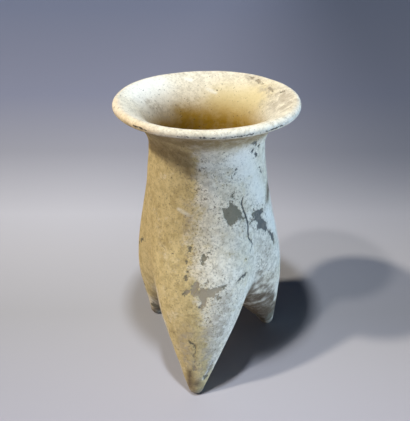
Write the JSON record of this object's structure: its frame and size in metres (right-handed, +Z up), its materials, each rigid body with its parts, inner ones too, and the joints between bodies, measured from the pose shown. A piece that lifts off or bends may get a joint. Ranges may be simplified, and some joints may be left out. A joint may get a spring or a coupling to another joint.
{
  "type": "tripod vase",
  "caption": "Hollow fired-clay jar with a wide everted mouth, a straight neck and a belly that divides into pointed bag legs, for holding liquids or for display.",
  "frame": {"origin": "on the floor, on the jar's upright axis, midway between the feet", "axes": "+Z up along the jar's axis; -Y points from the axis to the front leg; +X to the right of it seen from the front"},
  "size_m": [0.1898, 0.1916, 0.3299],
  "materials": {
    "fired_clay": "matt pale slip worn through to dark grey clay in patches, with soil stains"
  },
  "bodies": {
    "root": {"tripod_vase": "fired_clay"}
  },
  "joints": []
}
